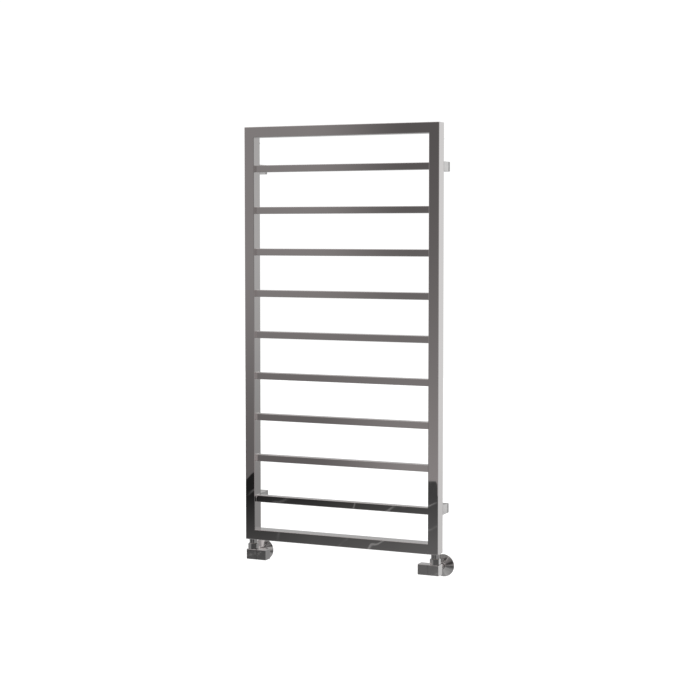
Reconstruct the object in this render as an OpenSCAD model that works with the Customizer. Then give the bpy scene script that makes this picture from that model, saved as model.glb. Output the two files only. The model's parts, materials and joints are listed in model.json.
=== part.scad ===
// Wall-hung ladder towel warmer for a heating circuit.
// X runs to the viewer's right, Y runs towards the wall, Z runs up. The wall's face is at Y = 0,
// and the origin is the middle of the four wall screws.

/* [Rack] */
// Height of the frame
rack_h = 1200; // [800:20:1600]
// Width of the frame
rack_w = 600; // [400:10:900]
// Width of the frame tube's face
tube_w = 30; // [28:1:36]
// Depth of the frame tube, front to back
tube_d = 40; // [34:1:50]
// Wall of the frame tube
tube_wall = 1.5; // [1.2:0.1:2]
// Side of the square rung tube
rung_s = 20; // [16:1:24]
// Wall of the rung tube
rung_wall = 1.2; // [1:0.1:1.6]
// Radius of the tubes' outer edges
edge_r = 1.5; // [0.8:0.1:2]
// Radius of the tubes' inner edges
bore_edge_r = 0.6; // [0.4:0.1:0.8]
// Thickness of the plates that close the uprights
cap_t = 3; // [2:0.5:4]

/* [Brackets] */
// Gap between the frame's back and the wall
wall_gap = 47; // [46:1:70]
// Width of a bracket
bracket_w = 30; // [28:1:34]
// Height of a bracket
bracket_h = 27; // [25:1:32]
// Wall of a bracket's sleeve
sleeve_wall = 2.5; // [2:0.1:3]
// Thickness of the sleeve's end plate
sleeve_plate = 4; // [3:0.5:5]
// Part of the wall base that shows behind the sleeve
base_flange = 12; // [8:1:14]
// Clearance between a sleeve and the tongue of its wall base
tongue_fit = 0.3; // [0.2:0.05:0.5]
// How far the rack can be drawn out from the wall
bracket_travel = 10; // [4:1:10]
// Diameter of the wall screw's hole
screw_hole_d = 5.5; // [4.5:0.5:6]
// Diameter of the bolt that holds a sleeve to its upright
bolt_d = 8; // [6:1:8]
// Diameter of the clamping screw under a sleeve
grub_d = 5; // [4:0.5:6]

/* [Valves] */
// Side of the square valve body
valve_s = 30; // [30:1:34]
// Drop from the frame's lower edge to the top of a valve
valve_drop = 30; // [29:1:45]
// Length of a valve's square head
head_l = 30.4; // [29:0.2:36]
// Gap between a head and its valve body
head_gap = 0.6; // [0.4:0.1:1]
// Diameter of the bore inside a head
head_bore_d = 25; // [24:0.5:26]
// Side of the square drive on a spindle
drive_s = 5; // [4:0.5:5.5]
// Diameter of a spindle
spindle_d = 6; // [5.5:0.5:7]
// Lift of the valve disc from shut to open
disc_lift = 3; // [2:0.5:3]
// Outer diameter of the radiator thread
port_d = 20.9; // [18:0.1:21.2]
// Outer diameter of the union thread on a valve
union_d = 24; // [23.8:0.1:24.4]
// Width across the flats of a union nut
union_nut_af = 27; // [27:0.5:30]
// Diameter of the cover ring over a valve's tail
tail_cover_d = 23.6; // [23.4:0.1:25]

/* [Pipes] */
// Outer diameter of a pipe
pipe_d = 15; // [12:0.5:16]
// Wall of a pipe
pipe_wall = 1; // [0.7:0.1:1.2]
// Length of pipe that stands behind the wall's face
pipe_tail = 25; // [20:5:60]
// Outer diameter of an escutcheon
escutcheon_d = 64; // [50:1:70]
// Depth of an escutcheon from the wall to its collar's edge
escutcheon_depth = 13; // [10:0.5:16]
// Thickness of an escutcheon's metal
escutcheon_t = 1.2; // [0.8:0.1:1.6]

/* [Hidden] */
rung_count = 9;
RUNGS = [for (i = [1:rung_count]) str("rung_", i)];
SIDES = ["left", "right"];
CORNERS = ["upper_left", "upper_right", "lower_left", "lower_right"];
$fn = 64;
cut = 1;                  // how far a cut runs past the face that it opens
run_fit = 0.05;           // radial clearance of a shaft that turns or slides in a bore
seat_fit = 0.08;          // radial clearance of a screwed or pushed-in piece
face_gap = 0.3;           // space kept between two faces that move against each other

// The frame
post_x = rack_w / 2 - tube_w / 2;
frame_y = -wall_gap - tube_d / 2;
back_y = -wall_gap;
rack_top = rack_h / 2;
rack_low = -rack_h / 2;
rung_pitch = rack_h / (rung_count + 1);
rung_bore = rung_s - 2 * rung_wall;
bar_l = rack_w - 2 * tube_w;
bracket_z = rack_top - rung_pitch;       // the brackets stand behind the first and the last rung
cap_step = 4;
cap_step_fit = 0.2;

// The welded ports and what screws into them
port_r = port_d / 2;
boss_r = min(port_r + 2.4, tube_w / 2 - tube_wall - 0.3);
inlet_boss_l = 14;
port_boss_l = 12;
port_drop = 45;                          // from the frame's top to the air vent
plug_af = 24;
plug_t = 4;
plug_l = 9;
o_ring_t = 1.8;
vent_screw_r = 3;
vent_screw_l = 11;
vent_drive_s = 5;
vent_drive_l = 5;
vent_weep_r = 0.8;

// The brackets
bush_r = bolt_d / 2 + 2.5;
bush_l = 12;
bolt_head_r = bolt_d * 0.8;
bolt_head_l = 4.4;
bolt_l = 14;
socket_af = 5;
socket_l = 2.4;
sleeve_inner_w = bracket_w - 2 * sleeve_wall;
sleeve_inner_h = bracket_h - 2 * sleeve_wall;
sleeve_l = wall_gap - base_flange - face_gap;
tongue_w = sleeve_inner_w - 2 * tongue_fit;
tongue_h = sleeve_inner_h - 2 * tongue_fit;
tongue_front_y = back_y + sleeve_plate + bolt_head_l + 3;
screw_pocket_r = 7;
screw_seat_t = 7.5;
sink_l = 2.6;
grub_y = -base_flange - 9;
grub_reach = 1.4;                        // how far the clamping screw enters the tongue's groove
groove_depth = grub_reach + tongue_fit;
groove_w = grub_d + 2 * face_gap;

// The valves: X here runs from the body's middle towards the head
valve_z = rack_low - valve_drop - valve_s / 2;
body_in = valve_s / 2 + 1;
head_x = body_in + head_gap;
chamber_r = 6;
chamber_end = -11;
seat_r = 3.6;
seat_x = 3;
seat_t = 2;
bonnet_r = 8.5;
bonnet_hex_af = 19;
bonnet_hex_l = 3;
neck_r = 6.5;
neck_end = 25;
outlet_r = 3;
outlet_x = seat_x + outlet_r + 0.5;
inlet_r = 3.2;
inlet_x = -5;
disc_r = 5.8;
washer_r = 5.5;
washer_t = 2;
disc_x = seat_x + 0.2 + washer_t;
disc_flange_t = 2;
bonnet_x = disc_x + disc_flange_t + disc_lift + face_gap;
disc_stem_af = 9;
disc_stem_end = 13.5;
stem_hole_af = disc_stem_af + 0.4;
stem_hole_end = disc_stem_end + disc_lift + 0.7;
thread_r = spindle_d / 2 - 0.6;
thread_x = disc_x + disc_flange_t - 1 + disc_lift + face_gap;
collar_r = spindle_d / 2 + 1;
collar_t = 1.3;
drive_x = 27;
control_drive_end = 41;
lock_drive_end = 31;
drive_socket_x = 33;
seal_x = stem_hole_end + collar_t + 2.6;
seal_cord_r = 0.93;
seal_ring_r = spindle_d / 2 + run_fit + seal_cord_r;
seal_room_l = 2.4;
head_screw_r = 2;
head_screw_x = 38;
cap_wall = 3;
clip_l = 5;

// The union to the rack, from the valve body's top
union_r = union_d / 2;
spigot_l = 10;
union_bore_r = 7.5;
union_floor = 3;                         // metal left under the spigot's bore
washer_l = 1.5;
tail_flange_t = 2;
tail_flange_r = union_r - 0.4;
nut_roof = 2.8;
union_nut_l = spigot_l + washer_l + tail_flange_t + nut_roof - face_gap;
tail_wall = 2.6;
tail_thread_l = 11;

// The compression joint to the pipe, from the valve body's back
pipe_r = pipe_d / 2;
socket_r = pipe_r + 2 * run_fit;
joint_r = pipe_r + 2.35;
joint_l = 7;
pipe_socket_l = 7;                       // depth of the pipe's socket inside the body
olive_l = 4;
olive_r = joint_r - 0.35;
comp_nut_af = 2 * joint_r + 4.3;
comp_nut_end = 4;
comp_nut_l = joint_l + olive_l + comp_nut_end;
valve_back_y = frame_y + valve_s / 2;
pipe_end_y = valve_back_y - pipe_socket_l + face_gap;
mark_l = 2;                              // a turned ring marks where the pipe leaves the wall
mark_depth = 0.4;
collar_l = 3;
collar_edge_r = pipe_r + 2.4;

CHROME = [0.62, 0.62, 0.63];
BRASS = [0.78, 0.63, 0.33];
STEEL = [0.5, 0.5, 0.52];
RUBBER = [0.12, 0.12, 0.12];

function side_of(s) = s == "left" ? -1 : 1;
function corner_x(c) = (c == "upper_left" || c == "lower_left") ? -post_x : post_x;
function corner_z(c) = (c == "upper_left" || c == "upper_right") ? bracket_z : -bracket_z;
function rung_z(i) = rack_top - i * rung_pitch;

// A rectangle with round corners
module soft_rect(w, h, r) {
    square([w - 2 * r, h], center = true);
    square([w, h - 2 * r], center = true);
    for (x = [-1, 1], y = [-1, 1])
        translate([x * (w / 2 - r), y * (h / 2 - r)]) circle(r = r, $fn = 32);
}

// The same rectangle as a bar along X, Y or Z
module bar_x(l, w, h, r) { rotate([90, 0, 90]) linear_extrude(l) soft_rect(w, h, r); }
module bar_y(l, w, h, r) { translate([0, l, 0]) rotate([90, 0, 0]) linear_extrude(l) soft_rect(w, h, r); }
module bar_z(l, w, h, r) { linear_extrude(l) soft_rect(w, h, r); }

// Round bars along X and Y, and a hexagon of a given width across its flats
module rod_x(l, r) { rotate([0, 90, 0]) cylinder(h = l, r = r); }
module rod_y(l, r) { rotate([-90, 0, 0]) cylinder(h = l, r = r); }
module hex_z(l, af) { cylinder(h = l, r = af / sqrt(3), $fn = 6); }
module hex_x(l, af) { rotate([0, 90, 0]) hex_z(l, af); }
module hex_y(l, af) { rotate([-90, 0, 0]) hex_z(l, af); }

// Where things go
module at_corners() {
    for (x = [-post_x, post_x], z = [-bracket_z, bracket_z]) translate([x, 0, z]) children();
}
module at_ports() {
    for (x = [-post_x, post_x]) translate([x, back_y, rack_top - port_drop]) children();
}
module at_valve(s) {
    translate([side_of(s) * post_x, frame_y, valve_z])
        if (s == "right") mirror([1, 0, 0]) children();
        else children();
}
module at_pipe(s) { translate([side_of(s) * post_x, 0, valve_z]) children(); }

// ---- Frame ----

module upright(s) {
    inner_x = -side_of(s) * (tube_w / 2 - tube_wall / 2);
    color(CHROME) translate([side_of(s) * post_x, 0, 0]) difference() {
        translate([0, frame_y, rack_low + cap_t]) bar_z(rack_h - 2 * cap_t, tube_w, tube_d, edge_r);
        translate([0, frame_y, rack_low])
            bar_z(rack_h, tube_w - 2 * tube_wall, tube_d - 2 * tube_wall, bore_edge_r);
        for (i = [1:rung_count])
            translate([inner_x, frame_y, rung_z(i)])
                cube([3 * tube_wall, rung_bore, rung_bore], center = true);
        for (z = [rack_low + tube_w / 2, rack_top - tube_w / 2])
            translate([inner_x, frame_y, z])
                cube([3 * tube_wall, tube_d / 2, tube_w / 2], center = true);
        for (z = [-bracket_z, bracket_z])
            translate([0, back_y - tube_wall - cut, z]) rod_y(tube_wall + 2 * cut, bush_r);
        translate([0, back_y - tube_wall - cut, rack_top - port_drop]) rod_y(tube_wall + 2 * cut, boss_r);
    }
}

module cross_bar(z) {
    color(CHROME) translate([-bar_l / 2, frame_y, z]) difference() {
        bar_x(bar_l, tube_d, tube_w, edge_r);
        translate([-cut, 0, 0])
            bar_x(bar_l + 2 * cut, tube_d - 2 * tube_wall, tube_w - 2 * tube_wall, bore_edge_r);
    }
}

module rung(i) {
    color(CHROME) translate([-bar_l / 2, frame_y, rung_z(i)]) difference() {
        bar_x(bar_l, rung_s, rung_s, edge_r);
        translate([-cut, 0, 0]) bar_x(bar_l + 2 * cut, rung_bore, rung_bore, bore_edge_r);
    }
}

// A plate that closes an upright, with a step that sits inside the tube
module end_plate() {
    bar_z(cap_t, tube_w, tube_d, edge_r);
    translate([0, 0, cap_t])
        bar_z(cap_step, tube_w - 2 * tube_wall - 2 * cap_step_fit,
              tube_d - 2 * tube_wall - 2 * cap_step_fit, bore_edge_r);
}

module top_caps() {
    color(CHROME) for (x = [-post_x, post_x])
        translate([x, frame_y, rack_top]) mirror([0, 0, 1]) end_plate();
}

module inlet_boss(s) {
    color(CHROME) translate([side_of(s) * post_x, frame_y, rack_low]) difference() {
        union() {
            end_plate();
            cylinder(h = inlet_boss_l, r = boss_r);
        }
        translate([0, 0, -cut]) cylinder(h = inlet_boss_l + 2 * cut, r = port_r + seat_fit);
    }
}

module port_bosses() {
    color(STEEL) at_ports() difference() {
        translate([0, -port_boss_l, 0]) rod_y(port_boss_l, boss_r);
        translate([0, -port_boss_l - cut, 0]) rod_y(port_boss_l + 2 * cut, port_r + seat_fit);
    }
}

// A screwed plug with a hexagon flange that squeezes its sealing ring
module port_plug() {
    translate([0, -plug_l, 0]) rod_y(plug_l + o_ring_t, port_r);
    translate([0, o_ring_t, 0]) hex_y(plug_t, plug_af);
}

module air_vent() {
    color(CHROME) translate([-post_x, back_y, rack_top - port_drop]) difference() {
        port_plug();
        translate([0, o_ring_t + plug_t - vent_screw_l - face_gap, 0])
            rod_y(vent_screw_l + face_gap + cut, vent_screw_r + run_fit);
        translate([0, -plug_l - cut, 0]) rod_y(plug_l + cut, vent_weep_r);
        translate([0, o_ring_t + plug_t / 2, -plug_af]) cylinder(h = plug_af, r = vent_weep_r);
    }
}

module bleed_screw() {
    color(BRASS) translate([-post_x, back_y + o_ring_t + plug_t, rack_top - port_drop]) {
        translate([0, -vent_screw_l, 0]) rod_y(vent_screw_l, vent_screw_r);
        translate([-vent_drive_s / 2, 0, -vent_drive_s / 2]) cube([vent_drive_s, vent_drive_l, vent_drive_s]);
    }
}

module blanking_plug() {
    color(CHROME) translate([post_x, back_y, rack_top - port_drop]) difference() {
        port_plug();
        translate([0, o_ring_t, 0]) hex_y(plug_t + cut, plug_af / 2);
    }
}

module port_o_rings() {
    color(RUBBER) at_ports() rotate([-90, 0, 0])
        rotate_extrude() translate([port_r + seat_fit, 0]) square([1.6, o_ring_t]);
}

// ---- Wall brackets ----

module bracket_bushes() {
    color(STEEL) at_corners() difference() {
        translate([0, back_y - bush_l, 0]) rod_y(bush_l, bush_r);
        translate([0, back_y - bush_l - cut, 0]) rod_y(bush_l + 2 * cut, bolt_d / 2 + seat_fit);
    }
}

module bracket_bolts() {
    color(STEEL) at_corners() difference() {
        union() {
            translate([0, back_y + sleeve_plate - bolt_l, 0]) rod_y(bolt_l, bolt_d / 2);
            translate([0, back_y + sleeve_plate, 0]) rod_y(bolt_head_l, bolt_head_r);
        }
        translate([0, back_y + sleeve_plate + bolt_head_l - socket_l, 0]) hex_y(socket_l + cut, socket_af);
    }
}

module sleeve(c) {
    color(CHROME) translate([corner_x(c), back_y, corner_z(c)]) difference() {
        bar_y(sleeve_l, bracket_w, bracket_h, edge_r);
        translate([0, sleeve_plate, 0]) bar_y(sleeve_l, sleeve_inner_w, sleeve_inner_h, bore_edge_r);
        translate([0, -cut, 0]) rod_y(sleeve_plate + 2 * cut, bolt_d / 2 + tongue_fit);
        translate([0, grub_y - back_y, -bracket_h / 2 - cut])
            cylinder(h = sleeve_wall + 2 * cut, r = grub_d / 2 + seat_fit);
    }
}

module bracket_grub_screws() {
    grub_l = sleeve_wall + tongue_fit + grub_reach - face_gap;
    color(STEEL) at_corners() translate([0, grub_y, -bracket_h / 2]) difference() {
        cylinder(h = grub_l, r = grub_d / 2);
        translate([0, 0, -cut]) hex_z(cut + grub_l / 2, grub_d / 2);
    }
}

module wall_base(c) {
    color(STEEL) translate([corner_x(c), 0, corner_z(c)]) difference() {
        union() {
            translate([0, -base_flange, 0]) bar_y(base_flange, bracket_w, bracket_h, edge_r);
            translate([0, tongue_front_y, 0])
                bar_y(-tongue_front_y - base_flange, tongue_w, tongue_h, bore_edge_r);
        }
        translate([0, tongue_front_y - cut, 0])
            rod_y(-tongue_front_y + cut - screw_seat_t, screw_pocket_r);
        translate([0, -screw_seat_t - cut, 0]) rod_y(screw_seat_t + 2 * cut, screw_hole_d / 2);
        translate([0, -screw_seat_t, 0]) rotate([-90, 0, 0])
            cylinder(h = sink_l, r1 = screw_hole_d / 2 + sink_l, r2 = screw_hole_d / 2);
        translate([-groove_w / 2, grub_y - bracket_travel - groove_w / 2, -tongue_h / 2 - cut])
            cube([groove_w, bracket_travel + groove_w, groove_depth + cut]);
    }
}

// ---- Valves ----

module valve_body(s) {
    color(CHROME) at_valve(s) difference() {
        union() {
            translate([-valve_s / 2, 0, 0]) bar_x(valve_s / 2 + body_in, valve_s, valve_s, edge_r);
            translate([0, 0, valve_s / 2 - cut]) cylinder(h = spigot_l + cut, r = union_r);
            translate([0, valve_s / 2 - cut, 0]) rod_y(joint_l + cut, joint_r);
        }
        translate([chamber_end, 0, 0]) rod_x(seat_x - seat_t - chamber_end, chamber_r);
        translate([seat_x - seat_t - cut, 0, 0]) rod_x(seat_t + 2 * cut, seat_r);
        translate([seat_x, 0, 0]) rod_x(body_in - seat_x + cut, bonnet_r);
        translate([outlet_x, 0, 0]) cylinder(h = valve_s / 2, r = outlet_r);
        translate([0, 0, valve_s / 2 - union_floor])
            cylinder(h = union_floor + spigot_l + cut, r = union_bore_r);
        translate([inlet_x, 0, 0]) rod_y(valve_s / 2, inlet_r);
        translate([0, valve_s / 2 - pipe_socket_l, 0]) rod_y(pipe_socket_l + joint_l + cut, socket_r);
    }
}

module bonnet(s) {
    color(BRASS) at_valve(s) difference() {
        union() {
            translate([bonnet_x, 0, 0]) rod_x(body_in - bonnet_x, bonnet_r - seat_fit);
            translate([body_in, 0, 0]) hex_x(bonnet_hex_l, bonnet_hex_af);
            translate([body_in, 0, 0]) rod_x(neck_end - body_in, neck_r);
        }
        translate([bonnet_x - cut, 0, 0]) hex_x(stem_hole_end - bonnet_x + cut, stem_hole_af);
        translate([stem_hole_end - cut, 0, 0]) rod_x(cut + collar_t + 2 * run_fit, collar_r + run_fit);
        translate([stem_hole_end, 0, 0]) rod_x(neck_end - stem_hole_end + cut, spindle_d / 2 + run_fit);
        translate([seal_x - seal_room_l / 2, 0, 0])
            rod_x(seal_room_l, seal_ring_r + seal_cord_r + run_fit);
    }
}

// The seal sits in its groove round the spindle
module spindle_seals() {
    color(RUBBER) for (s = SIDES) at_valve(s) translate([seal_x, 0, 0]) rotate([0, 90, 0])
        rotate_extrude() translate([seal_ring_r, 0]) circle(r = seal_cord_r, $fn = 24);
}

module spindle(s) {
    drive_end = s == "right" ? control_drive_end : lock_drive_end;
    color(BRASS) at_valve(s) {
        translate([thread_x, 0, 0]) rod_x(stem_hole_end + run_fit - thread_x, thread_r);
        translate([stem_hole_end + run_fit, 0, 0]) rod_x(collar_t, collar_r);
        translate([stem_hole_end + run_fit, 0, 0]) rod_x(drive_x - stem_hole_end - run_fit, spindle_d / 2);
        translate([drive_x, -drive_s / 2, -drive_s / 2]) cube([drive_end - drive_x, drive_s, drive_s]);
    }
}

// The disc doesn't turn: its hexagon stem slides in the bonnet as the spindle's thread draws it
module valve_disc(s) {
    color(BRASS) at_valve(s) difference() {
        union() {
            translate([disc_x, 0, 0]) rod_x(disc_flange_t, disc_r);
            translate([disc_x, 0, 0]) hex_x(disc_stem_end - disc_x, disc_stem_af);
        }
        translate([disc_x + disc_flange_t - 1, 0, 0]) rod_x(disc_stem_end, thread_r + run_fit);
    }
}

module seat_washer(s) {
    color(RUBBER) at_valve(s) translate([disc_x - washer_t, 0, 0]) rod_x(washer_t, washer_r);
}

module control_head() {
    color(CHROME) at_valve("right") difference() {
        translate([head_x, 0, 0]) bar_x(head_l, valve_s, valve_s, edge_r);
        translate([head_x - cut, 0, 0]) rod_x(drive_socket_x - head_x + cut, head_bore_d / 2);
        translate([drive_socket_x - cut, -drive_s / 2 - seat_fit, -drive_s / 2 - seat_fit])
            cube([control_drive_end + face_gap - drive_socket_x + cut, drive_s + 2 * seat_fit,
                  drive_s + 2 * seat_fit]);
        translate([head_screw_x, 0, -valve_s / 2 - cut])
            cylinder(h = valve_s / 2 + cut, r = head_screw_r + seat_fit);
    }
}

module control_head_screw() {
    screw_l = valve_s / 2 - drive_s / 2 - 1;
    color(STEEL) at_valve("right") translate([head_screw_x, 0, -drive_s / 2 - screw_l]) difference() {
        cylinder(h = screw_l, r = head_screw_r);
        translate([0, 0, -cut]) hex_z(cut + head_screw_r, head_screw_r);
    }
}

module lockshield_cap() {
    color(CHROME) at_valve("left") difference() {
        translate([head_x, 0, 0]) bar_x(head_l, valve_s, valve_s, edge_r);
        translate([head_x - cut, 0, 0]) rod_x(head_l - cap_wall + cut, head_bore_d / 2);
    }
}

// A plastic ring inside the cap, which grips the bonnet's neck
module lockshield_cap_clip() {
    color(RUBBER) at_valve("left") translate([neck_end - clip_l, 0, 0]) difference() {
        rod_x(clip_l, head_bore_d / 2 - seat_fit);
        translate([-cut, 0, 0]) rod_x(clip_l + 2 * cut, neck_r + run_fit);
    }
}

// ---- Union between a valve and the rack ----

module union_nuts() {
    color(CHROME) for (s = SIDES) at_valve(s) translate([0, 0, valve_s / 2 + face_gap]) difference() {
        rotate(30) hex_z(union_nut_l, union_nut_af);
        translate([0, 0, -cut]) cylinder(h = union_nut_l - nut_roof + cut, r = union_r + seat_fit);
        cylinder(h = union_nut_l + cut, r = port_r + seat_fit + run_fit);
    }
}

module union_washers() {
    color(RUBBER) for (s = SIDES) at_valve(s) translate([0, 0, valve_s / 2 + spigot_l]) difference() {
        cylinder(h = washer_l, r = tail_flange_r);
        translate([0, 0, -cut]) cylinder(h = washer_l + 2 * cut, r = union_bore_r);
    }
}

module tail(s) {
    tail_z = valve_s / 2 + spigot_l + washer_l;
    tail_l = valve_s / 2 + valve_drop + tail_thread_l - tail_z;
    color(BRASS) at_valve(s) translate([0, 0, tail_z]) difference() {
        union() {
            cylinder(h = tail_flange_t, r = tail_flange_r);
            cylinder(h = tail_l, r = port_r);
        }
        translate([0, 0, -cut]) cylinder(h = tail_l + 2 * cut, r = port_r - tail_wall);
    }
}

module tail_cover(s) {
    cover_z = valve_s / 2 + 2 * face_gap + union_nut_l;
    color(CHROME) at_valve(s) translate([0, 0, cover_z]) difference() {
        cylinder(h = valve_s / 2 + valve_drop - cover_z, r = tail_cover_d / 2);
        translate([0, 0, -cut]) cylinder(h = valve_drop + 2 * cut, r = port_r + seat_fit);
    }
}

// ---- Pipes ----

module compression_nuts() {
    color(CHROME) for (s = SIDES) at_valve(s) translate([0, valve_s / 2 + face_gap, 0]) difference() {
        hex_y(comp_nut_l - face_gap, comp_nut_af);
        translate([0, -cut, 0]) rod_y(joint_l + olive_l - face_gap + cut, joint_r + seat_fit);
        rod_y(comp_nut_l + cut, socket_r);
    }
}

module olives() {
    color(BRASS) for (s = SIDES) at_valve(s) translate([0, valve_s / 2 + joint_l, 0]) rotate([-90, 0, 0])
        rotate_extrude() polygon([
            [pipe_r + run_fit, 0], [(pipe_r + olive_r) / 2, 0], [olive_r, olive_l / 3],
            [olive_r, olive_l * 2 / 3], [(pipe_r + olive_r) / 2, olive_l], [pipe_r + run_fit, olive_l]
        ]);
}

module pipe(s) {
    color(CHROME) at_pipe(s) difference() {
        translate([0, pipe_end_y, 0]) rod_y(pipe_tail - pipe_end_y, pipe_r);
        translate([0, pipe_end_y - cut, 0]) rod_y(pipe_tail - pipe_end_y + 2 * cut, pipe_r - pipe_wall);
        rotate([-90, 0, 0]) difference() {
            cylinder(h = mark_l, r = pipe_r + cut);
            cylinder(h = mark_l, r = pipe_r - mark_depth);
        }
    }
}

// A spun cone with a rolled collar, open at the wall
module escutcheon(s) {
    rim_r = escutcheon_d / 2;
    hole_r = pipe_r + 2 * run_fit;
    cone_l = escutcheon_depth - collar_l;
    color(CHROME) at_pipe(s) rotate([90, 0, 0]) rotate_extrude() polygon([
        [rim_r - escutcheon_t, 0], [rim_r, 0], [rim_r, escutcheon_t], [collar_edge_r, cone_l],
        [collar_edge_r, escutcheon_depth], [hole_r, escutcheon_depth], [hole_r, cone_l - escutcheon_t]
    ]);
}

upright("left");  // left_upright
upright("right");  // right_upright
cross_bar(rack_top - tube_w / 2);  // top_bar
cross_bar(rack_low + tube_w / 2);  // bottom_bar
for (i = [1:rung_count]) rung(i);
top_caps();
port_bosses();
air_vent();
bleed_screw();
blanking_plug();
port_o_rings();
bracket_bushes();
bracket_bolts();
bracket_grub_screws();
for (c = CORNERS) sleeve(c);
for (c = CORNERS) wall_base(c);
for (s = SIDES) inlet_boss(s);
for (s = SIDES) valve_body(s);
for (s = SIDES) bonnet(s);
for (s = SIDES) spindle(s);
for (s = SIDES) valve_disc(s);
for (s = SIDES) seat_washer(s);
for (s = SIDES) tail(s);
for (s = SIDES) tail_cover(s);
for (s = SIDES) pipe(s);
for (s = SIDES) escutcheon(s);
control_head();
control_head_screw();
lockshield_cap();
lockshield_cap_clip();
union_nuts();
compression_nuts();
spindle_seals();
union_washers();
olives();
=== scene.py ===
"""A wall-hung ladder towel warmer in polished chrome, with square corner valves, pipes and roses."""
import json
import math

import bmesh
import bpy
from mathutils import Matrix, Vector

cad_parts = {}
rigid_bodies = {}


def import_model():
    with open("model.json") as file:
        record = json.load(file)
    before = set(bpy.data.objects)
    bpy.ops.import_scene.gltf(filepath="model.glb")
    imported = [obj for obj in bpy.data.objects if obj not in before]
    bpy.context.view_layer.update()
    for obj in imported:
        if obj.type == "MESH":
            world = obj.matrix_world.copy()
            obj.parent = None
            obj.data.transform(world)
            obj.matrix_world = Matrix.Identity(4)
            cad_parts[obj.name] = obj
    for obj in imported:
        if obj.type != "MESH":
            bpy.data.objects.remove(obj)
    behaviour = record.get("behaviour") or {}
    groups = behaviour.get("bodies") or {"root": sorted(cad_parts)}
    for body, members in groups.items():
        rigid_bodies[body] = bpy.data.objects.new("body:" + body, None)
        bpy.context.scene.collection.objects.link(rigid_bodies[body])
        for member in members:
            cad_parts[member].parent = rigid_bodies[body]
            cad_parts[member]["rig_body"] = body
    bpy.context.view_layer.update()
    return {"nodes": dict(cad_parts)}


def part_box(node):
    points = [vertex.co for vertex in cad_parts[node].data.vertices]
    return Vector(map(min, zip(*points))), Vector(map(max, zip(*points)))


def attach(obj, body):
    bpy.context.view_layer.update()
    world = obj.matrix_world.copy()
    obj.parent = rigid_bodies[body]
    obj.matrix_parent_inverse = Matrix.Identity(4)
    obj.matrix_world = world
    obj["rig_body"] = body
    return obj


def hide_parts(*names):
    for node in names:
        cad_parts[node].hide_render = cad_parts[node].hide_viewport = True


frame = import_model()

MM = 0.001


# ---- Camera ----
# The tripod stands four metres out from the wall, to the right of the rack and level with its
# upper quarter. It looks slightly down, and a small lens shift centres the rack's height.

LOOK_DOWN = 3.376
TURN_LEFT = 23.747
sight = bpy.data.cameras.new("sight")
sight.lens = 82.56
sight.sensor_width = 36
sight.shift_y = -0.0353
sight.clip_end = 60
tripod = bpy.data.objects.new("tripod", sight)
tripod.location = (1.856, -4.2295, 0.302)
tripod.rotation_euler = (math.radians(90 - LOOK_DOWN), 0, math.radians(TURN_LEFT))
bpy.context.scene.collection.objects.link(tripod)
bpy.context.scene.camera = tripod
bpy.context.scene.view_settings.view_transform = "Standard"


# ---- Room ----
# A white studio with a pale floor. The polished metal also mirrors what stands before it: a dim
# grey room, bright towards the wall, with a dark veined stone floor that only the metal shows.

class Val:
    """A socket's value. Arithmetic on it adds Math nodes to its tree."""

    def __init__(self, tree, socket):
        self.tree = tree
        self.socket = socket

    def math(self, operation, *others):
        places = {place: value for place, value in enumerate((self,) + others)}
        return add_node(self.tree, "ShaderNodeMath", {"operation": operation}, places)

    def __add__(self, other):
        return self.math("ADD", other)

    def __mul__(self, other):
        return self.math("MULTIPLY", other)

    def __sub__(self, other):
        return self.math("SUBTRACT", other)

    def __rsub__(self, other):
        return self * -1 + other

    def __truediv__(self, other):
        return self.math("DIVIDE", other)

    def __pow__(self, other):
        return self.math("POWER", other)

    def __abs__(self):
        return self.math("ABSOLUTE")

    __radd__ = __add__
    __rmul__ = __mul__

    def held(self, low, high):
        """The value, kept between low and high."""
        return self.math("MAXIMUM", low).math("MINIMUM", high)

    def ramp(self, low, high):
        """A smooth rise from 0 at low to 1 at high."""
        sockets = {"Value": self, "From Min": low, "From Max": high}
        return add_node(self.tree, "ShaderNodeMapRange", {"interpolation_type": "SMOOTHSTEP"}, sockets)


def add_node(tree, kind, settings=None, sockets=None, out=0):
    """Adds one node, with its settings and its sockets' values or links, and gives one output."""
    node = tree.nodes.new(kind)
    for name, value in (settings or {}).items():
        setattr(node, name, value)
    for name, value in (sockets or {}).items():
        if isinstance(value, Val):
            tree.links.new(value.socket, node.inputs[name])
        else:
            node.inputs[name].default_value = value
    return Val(tree, node.outputs[out])


def noise(tree, place, scale, detail=3.0, stretch=(1, 1, 1)):
    """Cloudy noise about 0.5. Scale sets how fine it is, and stretch scales it along each axis."""
    squeezed = add_node(tree, "ShaderNodeVectorMath", {"operation": "MULTIPLY"}, {0: place, 1: stretch})
    sockets = {"Vector": squeezed, "Scale": scale, "Detail": detail}
    return add_node(tree, "ShaderNodeTexNoise", None, sockets)


def axes(tree, vector):
    """The X, Y and Z of a vector."""
    return [add_node(tree, "ShaderNodeSeparateXYZ", None, {0: vector}, axis) for axis in range(3)]


def mixed(tree, share, first, second):
    """A colour from first to second, as the share goes from 0 to 1."""
    return add_node(tree, "ShaderNodeMix", {"data_type": "RGBA"}, {0: share, 6: first, 7: second}, 2)


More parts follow.
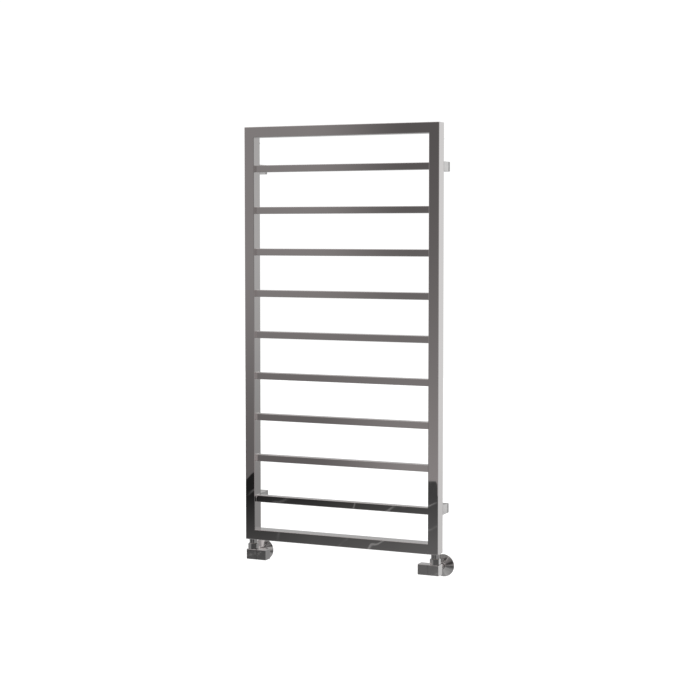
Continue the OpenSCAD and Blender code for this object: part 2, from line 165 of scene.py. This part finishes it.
def room_light():
    room = bpy.data.worlds.new("room")
    room.use_nodes = True
    room.cycles.sampling_method = "NONE"
    tree = room.node_tree
    tree.nodes.clear()
    right, back, high = axes(tree, add_node(tree, "ShaderNodeTexCoord"))
    # the bearing is 0 straight before the rack and runs to the right, in degrees
    bearing = right.math("ARCTAN2", back * -1) * math.degrees(1)
    slope = high / ((right * right + back * back) ** 0.5).math("MAXIMUM", 0.01)

    # the dim front wall: its left part is lighter above, its right part lighter below
    left_part = 0.19 + slope.ramp(-0.15, -0.01) * 0.165
    right_part = 0.155 + ((0.06 - slope) / 0.22).held(0, 1) ** 1.5 * 0.25
    share = bearing.ramp(-25.3, -21.5)
    front = left_part * (1 - share) + right_part * share
    # to its right dark furniture, then a lit part; a lit ceiling above; the room's darker right side
    furniture = bearing.ramp(-4, 8) * bearing.ramp(25, 22) * slope.ramp(0.2, 0.1)
    lamplit = bearing.ramp(22, 25) * bearing.ramp(74, 60)
    front = front * (1 - furniture * 0.6) + lamplit * 0.34
    front = front + slope.ramp(0.12, 0.3) * 0.1 + slope.ramp(0.36, 0.55) * 0.42
    window = bearing.ramp(-84, -80) * bearing.ramp(-58, -62) * slope.ramp(-0.12, -0.06)
    side = bearing.ramp(100, 106) * slope.ramp(0.9, 0.5)
    front = (front + window * 0.5) * (1 - side) + side * 0.07

    # the bright wall behind the rack, brightest to the right
    shaded = (0.38 + slope.ramp(-0.17, 0.01) * 0.27) * (1 - bearing.ramp(-100, -120) * 0.14)
    lit = 0.84 + slope.ramp(-0.22, -0.08) * 0.15
    brightest = bearing.ramp(153.5, 157.1)
    wall = shaded * (1 - brightest) + lit * brightest
    facing = bearing.ramp(132, 138) + bearing.ramp(-118, -135)

    # the stone floor before the rack, dark far off and lighter near by, with thin pale veins
    left_corner = abs(bearing + 27.1).ramp(0.5, 0.05) * 0.0058
    right_corner = bearing.ramp(-20.67, -20.48) * 0.0093
    edge = left_corner - right_corner - 0.1569
    below = (slope - edge).ramp(0.0006, -0.0006) * (1 - facing)
    aside = right / (back * -1).math("MAXIMUM", 0.05)
    spot = add_node(tree, "ShaderNodeCombineXYZ", None, {0: aside, 1: slope})
    bent = noise(tree, spot, 16.0)
    patchy = noise(tree, spot, 34.0, 2.0)
    lines = ((slope - aside * 0.38) * 52 + bent * 3.4).math("FRACT")
    near = slope.ramp(-0.32, -0.52)
    veined = (1 - near) * abs(bearing + 24).ramp(10, 7)
    vein = abs(lines - 0.5).ramp(0.05, 0.015) * patchy.ramp(0.4, 0.54) * veined
    rightward = (bearing + 27.8).held(0, 12) * bearing.ramp(12, 0) * 0.0095
    stone = 0.018 + rightward + (-0.166 - slope).held(0, 0.05) * 2.6
    stone = stone + (patchy - 0.5) * 0.03 + vein * 0.2 + near * 0.28
    sector = abs(bearing + 12).ramp(66, 50)
    pale = 0.34 + slope.ramp(-0.3, -1.2) * 0.3
    floor = stone * sector + pale * (1 - sector)

    walls = front * (1 - facing) + wall * facing
    mirrored = (walls * (1 - below) + floor * below).held(0.01, 1.4)
    camera_ray = add_node(tree, "ShaderNodeLightPath", out=0)
    glossy_ray = add_node(tree, "ShaderNodeLightPath", out=3)
    strength = mirrored * glossy_ray + (1 - glossy_ray) * (1.4 - camera_ray * 0.35)
    # the front wall is faintly warm
    warm = glossy_ray * (1 - facing) * (1 - below)
    tint = mixed(tree, warm, (1, 1, 1, 1), (1.035, 0.98, 0.98, 1))
    light = add_node(tree, "ShaderNodeBackground", None, {"Color": tint, "Strength": strength})
    end = tree.nodes.new("ShaderNodeOutputWorld")
    tree.links.new(light.socket, end.inputs["Surface"])
    return room


bpy.context.scene.world = room_light()


def pale_floor():
    """A broad matt floor below the hanging rack. The polished metal doesn't mirror it."""
    matt = bpy.data.materials.new("pale_floor")
    matt.use_nodes = True
    matt.node_tree.nodes["Principled BSDF"].inputs["Base Color"].default_value = (0.9, 0.9, 0.9, 1)
    matt.node_tree.nodes["Principled BSDF"].inputs["Roughness"].default_value = 0.9
    mesh = bpy.data.meshes.new("floor")
    shape = bmesh.new()
    half = 8.0
    level = -0.9
    corners = ((-half, -half), (half, -half), (half, half), (-half, half))
    shape.faces.new([shape.verts.new((x, y, level)) for x, y in corners])
    shape.to_mesh(mesh)
    shape.free()
    floor = bpy.data.objects.new("floor", mesh)
    floor.data.materials.append(matt)
    floor.visible_glossy = False
    bpy.context.scene.collection.objects.link(floor)


pale_floor()


# ---- Tubes ----
# The uprights and bars are rectangular steel tube and the rungs are square tube, welded, ground,
# polished and chromed as one frame. The drawn tube keeps a slight wave under the plating.

MICRON = 0.001 * MM


class Finish:
    """A material in the making: its tree, the place on the piece in metres, and its shader."""

    def __init__(self, name, metallic=1.0):
        self.material = bpy.data.materials.new(name)
        self.material.use_nodes = True
        self.tree = self.material.node_tree
        self.shader = self.tree.nodes["Principled BSDF"].inputs
        self.shader["Metallic"].default_value = metallic
        self.place = add_node(self.tree, "ShaderNodeTexCoord", out=3)

    def cloud(self, scale, detail=3.0, stretch=(1, 1, 1)):
        return noise(self.tree, self.place, scale, detail, stretch)

    def edges(self, radius):
        """1 on edges, where hands and cloths rub and where a painted highlight goes, 0 on flat faces."""
        rounded = add_node(self.tree, "ShaderNodeBevel", {"samples": 4}, {"Radius": radius})
        true = add_node(self.tree, "ShaderNodeNewGeometry", out=1)
        return (1 - self.dot(rounded, true)).ramp(0.005, 0.12)

    def dot(self, first, second):
        pair = {0: first, 1: second}
        return add_node(self.tree, "ShaderNodeVectorMath", {"operation": "DOT_PRODUCT"}, pair, 1)

    def mix(self, share, first, second):
        return mixed(self.tree, share, first, second)

    def lay(self, colour, roughness, height):
        """Joins the colour, the roughness and the relief, whose height is in metres."""
        self.tree.links.new(colour.socket, self.shader["Base Color"])
        self.tree.links.new(roughness.socket, self.shader["Roughness"])
        sockets = {"Height": height, "Strength": 1.0, "Distance": 1.0}
        relief = add_node(self.tree, "ShaderNodeBump", None, sockets)
        self.tree.links.new(relief.socket, self.shader["Normal"])
        return self.material


def plated_tube(name, along, wear_and_highlight_to):
    """Mirror chrome on drawn tube. along is 1 on the tube's own axis and 0 across it; its long
    edges are worn and lightened by a painted highlight as far as wear_and_highlight_to from the middle,
    so the ground welds stay unmarked."""
    chrome = Finish(name)
    reach = chrome.dot(chrome.place, along)
    drawn = [0.03 if axis else 1 for axis in along]
    wiped = chrome.cloud(7, 5.0)
    hairline = chrome.cloud(900, 2.0, drawn).ramp(0.62, 0.72)
    # the edges are lighter in colour: wear, and a painted highlight along them
    wear_and_highlight = chrome.edges(0.9 * MM) * abs(reach).ramp(wear_and_highlight_to, wear_and_highlight_to - 3 * MM)
    tone = chrome.mix(wiped, (0.59, 0.568, 0.562, 1), (0.555, 0.541, 0.538, 1))
    colour = chrome.mix(wear_and_highlight * 0.6, tone, (0.68, 0.665, 0.645, 1))
    roughness = 0.006 + wiped.ramp(0.5, 0.8) * 0.02 + hairline * 0.012 + wear_and_highlight * 0.05
    wave = chrome.cloud(11, 1.0, drawn) * (22 * MICRON)
    peel = chrome.cloud(260, 2.0) * (0.35 * MICRON)
    return chrome.lay(colour, roughness, wave + peel)


post_low, post_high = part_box("right_upright")
upright_chrome = plated_tube("upright_chrome", (0, 0, 1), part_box("top_bar")[0].z - MM)
rung_chrome = plated_tube("rung_chrome", (1, 0, 0), post_low.x - MM)
RUNGS = sorted(name for name in frame["nodes"] if name.startswith("rung_"))


def paint(material, *names):
    """Gives CAD pieces their material."""
    for name in names:
        slots = frame["nodes"][name].data.materials
        for place in range(len(slots)):
            slots[place] = material


paint(upright_chrome, "left_upright", "right_upright")
paint(rung_chrome, "top_bar", "bottom_bar", *RUNGS)


# ---- End plates ----
# Steel plates weld into the uprights' ends and are ground flush. Their outer rims are broken to a
# soft edge before plating; each lower plate carries the boss that takes the valve's tail.

SHARP = math.radians(30)


def is_sharp(edge):
    return edge.is_manifold and edge.calc_face_angle() > SHARP


def show(name, shape, material, slot, body, *nodes):
    """Turns a shape into a piece that rides on a body and stands for CAD nodes."""
    bmesh.ops.recalc_face_normals(shape, faces=shape.faces)
    shape.normal_update()
    for edge in shape.edges:
        edge.smooth = not is_sharp(edge)
    for face in shape.faces:
        face.smooth = True
    mesh = bpy.data.meshes.new(name)
    shape.to_mesh(mesh)
    shape.free()
    piece = bpy.data.objects.new(name, mesh)
    bpy.context.scene.collection.objects.link(piece)
    piece.data.materials.append(material)
    flats = piece.modifiers.new("even_flats", "WEIGHTED_NORMAL")
    flats.keep_sharp = True
    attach(piece, body)
    if nodes:
        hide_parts(*nodes)
    return piece


def soften(node, material, slot, width, where=None):
    """A copy of a CAD node with its sharp edges rounded, in the node's place."""
    solid = frame["nodes"][node]
    shape = bmesh.new()
    shape.from_mesh(solid.data)
    bmesh.ops.remove_doubles(shape, verts=shape.verts, dist=1e-6)
    bmesh.ops.dissolve_limit(shape, angle_limit=math.radians(0.3), verts=shape.verts, edges=shape.edges)
    picked = [edge for edge in shape.edges if is_sharp(edge)]
    if where:
        picked = [edge for edge in picked if where((edge.verts[0].co + edge.verts[1].co) / 2)]
    bmesh.ops.bevel(shape, geom=picked, offset=width, offset_type="OFFSET", segments=3, profile=0.5,
                    affect="EDGES", clamp_overlap=True)
    return show(node + "_finished", shape, material, slot, solid["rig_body"], node)


def on_rim(node):
    """True for points on the outer rim of a pair of end plates or of a single one."""
    low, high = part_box(node)
    outer_z = high.z if high.z > 0 else low.z

    def test(point):
        from_middle = abs(abs(point.x) - post_x) / half_w, abs(point.y - frame_y) / half_d
        return abs(point.z - outer_z) < 0.1 * MM and max(from_middle) > 0.9
    return test


post_x = (post_low.x + post_high.x) / 2
frame_y = (post_low.y + post_high.y) / 2
half_w = (post_high.x - post_low.x) / 2
half_d = (post_high.y - post_low.y) / 2
EDGE_R = 1.5 * MM
for plate in ("top_caps", "left_inlet_boss", "right_inlet_boss"):
    soften(plate, upright_chrome, "frame_chrome", 0.9 * EDGE_R, on_rim(plate))


# ---- Welds ----
# Each rung is welded all round to both uprights, which leaves a small hollow fillet. The bars'
# corner welds fill the groove beside the uprights' round edges and are ground flush.

FILLET = 1.1 * MM
ARC_STEPS = 6


def rounded_rectangle(half_width, half_height, radius):
    """Points round a rectangle with round corners, each with its outward normal."""
    points = []
    for quarter, (sx, sy) in enumerate(((1, 1), (-1, 1), (-1, -1), (1, -1))):
        for step in range(ARC_STEPS + 1):
            turn = math.radians(90) * (quarter + step / ARC_STEPS)
            normal = Vector((math.cos(turn), math.sin(turn)))
            centre = Vector((sx * (half_width - radius), sy * (half_height - radius)))
            points.append((centre + normal * radius, normal))
    return points


def bridge_rings(shape, rings, closed=True):
    """Joins rings of vertices with quads; closed also joins the last ring to the first."""
    pairs = list(zip(rings, rings[1:] + rings[:1] if closed else rings[1:]))
    for near, far in pairs:
        count = len(near)
        for k in range(count):
            shape.faces.new((near[k], near[(k + 1) % count], far[(k + 1) % count], far[k]))


def weld_fillet(shape, x, side, z, half_width, half_height):
    """A hollow fillet round a tube that meets an upright at x and runs towards side."""
    section = [(0, 0), (0, 1)]
    for step in range(1, ARC_STEPS):
        turn = math.radians(90) * step / ARC_STEPS
        section.append((1 - math.cos(turn), 1 - math.sin(turn)))
    section.append((1, 0))
    rings = []
    for along, out in section:
        ring = []
        for point, normal in rounded_rectangle(half_width, half_height, EDGE_R):
            spot = point + normal * out * FILLET
            ring.append(shape.verts.new((x + side * along * FILLET, frame_y + spot.x, z + spot.y)))
        rings.append(ring)
    bridge_rings(shape, rings)


def ground_fill(shape, x, side, z, half_width, half_height):
    """The filled groove between a bar's end and the upright's round edge, ground flush with both."""
    rings = [[shape.verts.new((x - side * depth, frame_y + point.x, z + point.y))
              for point, _ in rounded_rectangle(half_width, half_height, EDGE_R)]
             for depth in (0, EDGE_R)]
    bridge_rings(shape, rings, closed=False)
    for ring in rings:
        shape.faces.new(ring)


beads = bmesh.new()
for rung in RUNGS:
    low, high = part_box(rung)
    for x, side in ((low.x, 1), (high.x, -1)):
        weld_fillet(beads, x, side, (low.z + high.z) / 2, (high.y - low.y) / 2, (high.z - low.z) / 2)
show("rung_welds", beads, rung_chrome, "frame_chrome", "rack")
fills = bmesh.new()
for bar in ("top_bar", "bottom_bar"):
    low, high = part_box(bar)
    for x, side in ((low.x, 1), (high.x, -1)):
        ground_fill(fills, x, side, (low.z + high.z) / 2, (high.y - low.y) / 2, (high.z - low.z) / 2)
show("corner_welds", fills, rung_chrome, "frame_chrome", "rack")


# ---- Port bosses, air vent and blanking plug ----
# Threaded steel bosses are welded into the uprights' backs near the top. One takes the air vent
# and the other a plain plug, both turned from chromed brass bar with a hexagon flange.

def machined(name, colour, dark, base_roughness, line_axis, lines=2600, depth=0.8 * MICRON):
    """Turned or milled metal, with fine tool lines that repeat along one axis, or on all three."""
    metal = Finish(name)
    grain = metal.cloud(lines, 2.0, line_axis)
    stain = metal.cloud(60, 5.0)
    # the edges are lighter in colour: wear, and a painted highlight along them
    wear_and_highlight = metal.edges(0.35 * MM)
    tone = metal.mix(stain.ramp(0.35, 0.75), colour, dark)
    shade = metal.mix(wear_and_highlight * 0.55, tone, [min(1, 1.18 * part) for part in colour[:3]] + [1])
    roughness = base_roughness + (grain - 0.5) * 0.12 + stain.ramp(0.4, 0.8) * 0.05 + wear_and_highlight * 0.03
    return metal.lay(shade, roughness.held(0.01, 0.9), grain * depth + stain * (4 * MICRON))


CHROME_TONE = (0.585, 0.572, 0.565, 1)
CHROME_SHADE = (0.54, 0.535, 0.535, 1)
turned_chrome_y = machined(
    "turned_chrome_y", CHROME_TONE, CHROME_SHADE, 0.05, (0.02, 1, 0.02), 1800, 0.25 * MICRON)
steel = machined("zinc_plated_steel", (0.52, 0.52, 0.53, 1), (0.40, 0.39, 0.37, 1), 0.32, (1, 0.15, 1))
brass = machined("machined_brass", (0.78, 0.60, 0.30, 1), (0.62, 0.44, 0.20, 1), 0.26, (1, 0.1, 0.1))


def soft_rubber():
    rubber = Finish("black_rubber", 0.0)
    dust = rubber.cloud(900, 4.0)
    bloom = rubber.cloud(80, 3.0)
    colour = rubber.mix(bloom * 0.6, (0.012, 0.012, 0.013, 1), (0.045, 0.045, 0.046, 1))
    return rubber.lay(colour, 0.62 + dust * 0.2, dust * (8 * MICRON))


rubber = soft_rubber()


def at(value, angle):
    return value(angle) if callable(value) else value


def turn_solid(shape, origin, axis, rings, steps=96):
    """Adds a turned solid from a closed list of (place along the axis, radius), in millimetres.
    Either may be a function of the angle, which gives flats."""
    turn = Vector(axis).to_track_quat("Z", "Y").to_matrix()
    made = []
    for along, radius in rings:
        ring = []
        for step in range(steps):
            angle = math.tau * step / steps
            out = at(radius, angle)
            spot = Vector((math.cos(angle) * out, math.sin(angle) * out, at(along, angle)))
            ring.append(shape.verts.new(Vector(origin) + turn @ (spot * MM)))
        made.append(ring)
    bridge_rings(shape, made)


def eased(outline, radius, steps=4):
    """A closed outline with its corners rounded."""
    points = [Vector(point) for point in outline]
    result = []
    for before, corner, after in zip(points[-1:] + points[:-1], points, points[1:] + points[:1]):
        reach = min(radius, 0.45 * (before - corner).length, 0.45 * (after - corner).length)
        start = corner + (before - corner).normalized() * reach
        end = corner + (after - corner).normalized() * reach
        for step in range(steps + 1):
            share = step / steps
            result.append(start * (1 - share) ** 2 + corner * 2 * share * (1 - share) + end * share ** 2)
    return [tuple(point) for point in result]


def hexagon(across, phase=0.0):
    """The radius of a hexagon at each angle."""
    def radius(angle):
        return across / 2 / math.cos((angle - phase) % math.radians(60) - math.radians(30))
    return radius


def chamfered(across, low, high, phase=0.0, land=0.4):
    """The outer rings of a hexagon with turned chamfers at both ends."""
    flat = hexagon(across, phase)
    face_r = across / 2 - land

    def drop(angle):
        return (flat(angle) - face_r) * math.tan(math.radians(28))
    return [(low, face_r), (lambda angle: low + drop(angle), flat),
            (lambda angle: high - drop(angle), flat), (high, face_r)]


port_z = (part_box("air_vent")[0].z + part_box("air_vent")[1].z) / 2
back_y = post_high.y
# all of these are in millimetres: the screwed part, the seal on it, and the flange over the seal
port_r = 10.45
port_depth = 9
seal_t = 1.8
seal_r = port_r + 0.1, port_r + 1.6
flange_af = 24
flange_top = 5.8
bleed_r = 3.05
key = hexagon(12)
key_rim = 8
shank = [(-port_depth, port_r - 0.8), (0.8 - port_depth, port_r), (seal_t, port_r),
         *chamfered(flange_af, seal_t, flange_top)]
vent = bmesh.new()
turn_solid(vent, (-post_x, back_y, port_z), (0, 1, 0), [
    (-port_depth, bleed_r), *shank, (flange_top, 6.4), (5.2, 5.8), (5.2, 4.6), (5.6, 4.2), (5.6, 3.3),
    (5.3, bleed_r)])
show("air_vent_turned", vent, turned_chrome_y, "fitting_chrome", "rack", "air_vent")
plug = bmesh.new()
turn_solid(plug, (post_x, back_y, port_z), (0, 1, 0), [
    (seal_t, 0.02), (-port_depth, 0.02), *shank, (flange_top, key_rim),
    (lambda angle: flange_top - 0.5 * (key_rim - key(angle)), key), (seal_t, key)])
show("blanking_plug_turned", plug, turned_chrome_y, "fitting_chrome", "rack", "blanking_plug")
seals = bmesh.new()
for x in (-post_x, post_x):
    turn_solid(seals, (x, back_y, port_z), (0, 1, 0), eased(
        [(0, seal_r[0]), (0, seal_r[1]), (seal_t, seal_r[1]), (seal_t, seal_r[0])], 0.7))
show("port_o_rings_moulded", seals, rubber, "rubber", "rack", "port_o_rings")
soften("bleed_screw", brass, "brass", 0.3 * MM)
paint(steel, "port_bosses")


# ---- Wall brackets ----
# A chromed sleeve bolts to each upright's back and slides on the tongue of a satin base that is
# screwed to the wall. A grub screw below clamps the two at the right distance.

def satin_metal(name, colour, roughness):
    satin = Finish(name)
    blasted = satin.cloud(1500, 3.0)
    patch = satin.cloud(45, 4.0)
    # the edges are lighter in colour: wear, and a painted highlight along them
    wear_and_highlight = satin.edges(0.4 * MM)
    tone = satin.mix(patch.ramp(0.3, 0.8), colour, [0.86 * part for part in colour[:3]] + [1])
    shade = satin.mix(wear_and_highlight * 0.5, tone, [min(1, 1.15 * part) for part in colour[:3]] + [1])
    return satin.lay(shade, roughness + (blasted - 0.5) * 0.14 - wear_and_highlight * 0.05, blasted * (2.2 * MICRON))


sleeve_chrome = satin_metal("sleeve_chrome", (0.60, 0.59, 0.585, 1), 0.14)
# the base's satin finish is rougher than the sleeve's; its darker colour is partly its own tone and
# partly painted shade from its place by the wall
shaded_base_satin = satin_metal("shaded_base_satin", (0.45, 0.445, 0.44, 1), 0.34)
for corner in ("upper_left", "upper_right", "lower_left", "lower_right"):
    soften(corner + "_sleeve", sleeve_chrome, "fitting_chrome", 0.5 * MM)
    soften(corner + "_wall_base", shaded_base_satin, "wall_base_metal", 0.5 * MM)
soften("bracket_grub_screws", steel, "steel", 0.25 * MM)
paint(steel, "bracket_bushes", "bracket_bolts")


# ---- Valves ----
# Square corner valves forged from brass, milled, polished and chromed. Inside each, a brass
# spindle draws a disc with a rubber washer off its seat, through a bonnet sealed by a ring.

VALVE_TONE = (0.575, 0.562, 0.556, 1)
VALVE_SHADE = (0.53, 0.52, 0.518, 1)
valve_chrome = machined(
    "valve_chrome", VALVE_TONE, VALVE_SHADE, 0.02, (0.05, 1, 1), 1200, 0.12 * MICRON)
SIDES = ("left", "right")
for side in SIDES:
    soften(side + "_valve_body", valve_chrome, "fitting_chrome", 0.8 * MM)
    soften(side + "_bonnet", brass, "brass", 0.35 * MM)
    soften(side + "_spindle", brass, "brass", 0.25 * MM)
    paint(brass, side + "_valve_disc", side + "_tail")
    paint(rubber, side + "_seat_washer")
paint(rubber, "spindle_seals", "union_washers")


# ---- Control head and lockshield cap ----
# Both are milled square blocks in the same chrome. The head is screwed to its spindle and turns
# it; the cap only pushes on, and a plastic ring inside it grips the bonnet's neck.

def moulded_plastic():
    plastic = Finish("clip_plastic", 0.0)
    grain = plastic.cloud(1400, 3.0)
    flow = plastic.cloud(120, 2.0)
    colour = plastic.mix(flow, (0.30, 0.30, 0.31, 1), (0.38, 0.38, 0.385, 1))
    return plastic.lay(colour, 0.42 + grain * 0.15, grain * (3 * MICRON))


soften("control_head", valve_chrome, "fitting_chrome", 0.8 * MM)
soften("control_head_screw", steel, "steel", 0.25 * MM)
soften("lockshield_cap", valve_chrome, "fitting_chrome", 0.8 * MM)
soften("lockshield_cap_clip", moulded_plastic(), "clip_plastic", 0.3 * MM)


# ---- Unions to the rack ----
# A hexagon union nut pulls each valve up against the tail that is screwed into the rack, and a
# turned cover ring hides the rest of the tail. The nut and the ring are chromed brass.

turned_chrome_z = machined(
    "turned_chrome_z", CHROME_TONE, CHROME_SHADE, 0.03, (0.02, 0.02, 1), 1800, 0.2 * MICRON)
nut_low, nut_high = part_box("union_nuts")
cover_low, cover_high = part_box("left_tail_cover")
nut_l = (nut_high.z - nut_low.z) / MM
nut_af = 27
nut_bore = 12.1
lip = nut_l - 2.8
lip_bore = 10.6
cover_l = (cover_high.z - cover_low.z) / MM
cover_bore = 10.55
cover_r = 11.8
nuts = bmesh.new()
for x in (-post_x, post_x):
    turn_solid(nuts, (x, frame_y, nut_low.z), (0, 0, 1), [
        (0, nut_bore + 0.3), *chamfered(nut_af, 0, nut_l, math.radians(30)), (nut_l, lip_bore + 0.3),
        (nut_l - 0.4, lip_bore), (lip, lip_bore), (lip, nut_bore), (0.4, nut_bore)])
show("union_nuts_turned", nuts, turned_chrome_z, "fitting_chrome", "rack", "union_nuts")
for side, x in zip(SIDES, (-post_x, post_x)):
    ring = bmesh.new()
    turn_solid(ring, (x, frame_y, cover_low.z), (0, 0, 1), eased(
        [(0, cover_bore), (0, cover_r), (cover_l, cover_r), (cover_l, cover_bore)], 0.8))
    cover = side + "_tail_cover"
    show(cover + "_turned", ring, turned_chrome_z, "fitting_chrome", "rack", cover)


# ---- Pipes, compression joints and roses ----
# Chromed copper pipe enters the wall behind each valve. A brass olive under a hexagon nut seals
# it, and a rose spun from thin chromed sheet slides on the pipe to hide the hole.

valve_z = (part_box("right_pipe")[0].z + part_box("right_pipe")[1].z) / 2
comp_low, comp_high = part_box("compression_nuts")
comp_l = (comp_high.y - comp_low.y) / MM
comp_af = (comp_high.z - comp_low.z) / MM
comp_bore = 9.95
pipe_bore = 7.6
joints = bmesh.new()
for x in (-post_x, post_x):
    turn_solid(joints, (x, comp_low.y, valve_z), (0, 1, 0), [
        (0, comp_bore + 0.35), *chamfered(comp_af, 0, comp_l), (comp_l, pipe_bore + 0.4),
        (comp_l - 0.4, pipe_bore), (comp_l - 4, pipe_bore), (comp_l - 4, comp_bore), (0.4, comp_bore)])
show("compression_nuts_turned", joints, turned_chrome_y, "fitting_chrome", "rack", "compression_nuts")
paint(brass, "olives")


def spun_sheet():
    """Chrome over a rose spun on a lathe, with rings about the pipe and a painted radial sheen in its
    colour.
    """
    sheet = Finish("rose_chrome")
    x, _, z = axes(sheet.tree, sheet.place)
    x = abs(x) - post_x
    z = z - valve_z
    radius = (x * x + z * z) ** 0.5
    rings = (radius * (math.tau / (0.9 * MM))).math("SINE")
    around = {0: x.math("ARCTAN2", z) * 2.2, 1: radius * 20}
    # the radial streaks lighten and darken the colour in wedges round the pipe, a painted reflection of
    # spun metal's fan-shaped highlights; they also raise the relief
    radial_sheen = noise(sheet.tree, add_node(sheet.tree, "ShaderNodeCombineXYZ", None, around), 3.0, 4.0)
    haze = sheet.cloud(40, 4.0)
    # the edges are lighter in colour: wear, and a painted highlight along them
    wear_and_highlight = sheet.edges(0.5 * MM)
    tone = sheet.mix(radial_sheen.ramp(0.3, 0.75), (0.62, 0.607, 0.6, 1), (0.50, 0.492, 0.49, 1))
    colour = sheet.mix(wear_and_highlight * 0.5, tone, (0.7, 0.69, 0.67, 1))
    roughness = 0.05 + haze.ramp(0.4, 0.8) * 0.06 + wear_and_highlight * 0.04
    return sheet.lay(colour, roughness, rings * (0.5 * MICRON) + radial_sheen * (90 * MICRON))


pipe_chrome = machined(
    "pipe_chrome", CHROME_TONE, CHROME_SHADE, 0.04, (1, 0.03, 1), 1500, 0.3 * MICRON)
rose_chrome = spun_sheet()
rose_r = 32
sheet_t = 1.2
cone_l = 10
neck_r = 9.9
rose_l = 13
for side, x in zip(SIDES, (-post_x, post_x)):
    paint(pipe_chrome, side + "_pipe")
    rose = bmesh.new()
    turn_solid(rose, (x, 0, valve_z), (0, -1, 0), eased([
        (0, rose_r - sheet_t), (0, rose_r), (sheet_t, rose_r), (cone_l, neck_r), (rose_l, neck_r),
        (rose_l, pipe_bore), (cone_l - sheet_t, pipe_bore)], 0.7), 192)
    escutcheon = side + "_escutcheon"
    show(side + "_rose_spun", rose, rose_chrome, "fitting_chrome", escutcheon, escutcheon)
